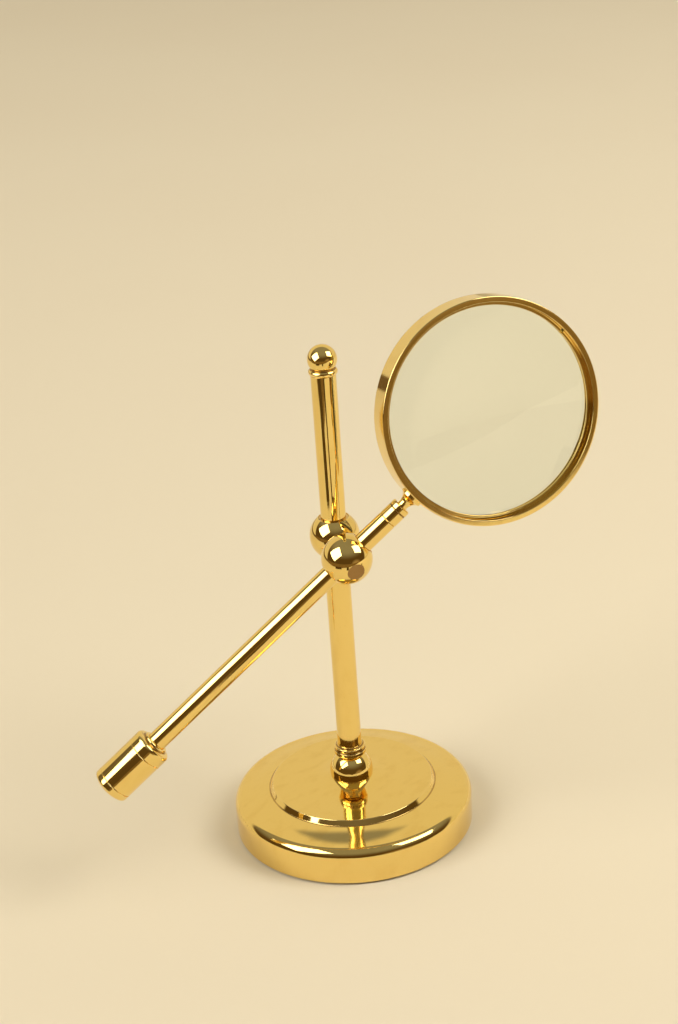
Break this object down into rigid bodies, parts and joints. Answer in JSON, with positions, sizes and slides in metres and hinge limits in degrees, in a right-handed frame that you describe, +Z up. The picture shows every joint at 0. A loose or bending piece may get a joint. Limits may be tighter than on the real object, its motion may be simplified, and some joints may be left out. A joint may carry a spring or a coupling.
{
  "type": "desk magnifier",
  "caption": "Free-standing magnifier: weighted round base, plain post, and a counterweighted arm with a round lens held by a pair of ball clamps.",
  "frame": {"origin": "middle of the underside of the base, on the post's axis and on the table", "axes": "+Z up the post, the arm ball stands in front of the post towards -Y, and the lens is up to the right, towards +X"},
  "size_m": [0.3276, 0.158, 0.3583],
  "materials": {
    "polished_brass": "polished and lacquered",
    "plain_brass": "as turned",
    "cast_iron": "as cast",
    "steel": "plain",
    "lens_glass": "ground and polished",
    "felt": "pressed wool felt",
    "fibre": "vulcanised fibre"
  },
  "bodies": {
    "stand": {"base_shell": "polished_brass", "base_weight": "cast_iron", "base_felt": "felt", "tie_washer": "steel", "tie_nut": "steel", "tie_rod": "steel", "foot_ball": "polished_brass", "post_collar": "polished_brass", "post_tube": "polished_brass", "post_lower_plug": "plain_brass", "post_upper_plug": "plain_brass", "post_finial": "polished_brass"},
    "post_sleeve": {"post_sleeve": "plain_brass"},
    "post_ball": {"post_ball": "polished_brass", "post_shoe": "plain_brass", "post_disc_spring": "steel", "post_ball_cap": "polished_brass", "thrust_washer": "plain_brass", "friction_disc": "fibre"},
    "arm_ball": {"arm_ball": "polished_brass", "arm_shoe": "plain_brass", "arm_disc_spring": "steel", "arm_ball_cap": "polished_brass", "joint_spacer": "plain_brass", "joint_spring": "steel", "pivot_screw": "steel"},
    "arm_sleeve": {"arm_sleeve": "plain_brass"},
    "arm": {"arm_tube": "polished_brass", "arm_ferrule": "polished_brass", "arm_lower_plug": "plain_brass", "lens_band": "polished_brass", "lens": "lens_glass", "lens_retainer": "polished_brass", "lens_stem": "polished_brass", "counter_top_cap": "polished_brass", "counter_sleeve": "polished_brass", "counter_end_cap": "polished_brass", "counter_core": "cast_iron", "counter_stud": "steel"}
  },
  "joints": [
    {"name": "post_slide", "type": "slide", "parent": "stand", "child": "post_sleeve", "axis": [0, 0, 1], "range_m": [-0.062, 0.094]},
    {"name": "post_swivel", "type": "hinge", "parent": "post_sleeve", "child": "post_ball", "pos_m": [0, 0, 0.209], "axis": [0, 0, 1], "continuous": true},
    {"name": "ball_pivot", "type": "hinge", "parent": "post_ball", "child": "arm_ball", "pos_m": [0, 0, 0.209], "axis": [0.1736, -0.9848, 0], "range_deg": [-60, 25]},
    {"name": "arm_twist", "type": "hinge", "parent": "arm_ball", "child": "arm_sleeve", "pos_m": [0.00642, -0.03639, 0.209], "axis": [0.7599, 0.134, 0.6361], "continuous": true},
    {"name": "arm_slide", "type": "slide", "parent": "arm_sleeve", "child": "arm", "axis": [0.7599, 0.134, 0.6361], "range_m": [-0.031, 0.149]}
  ]
}
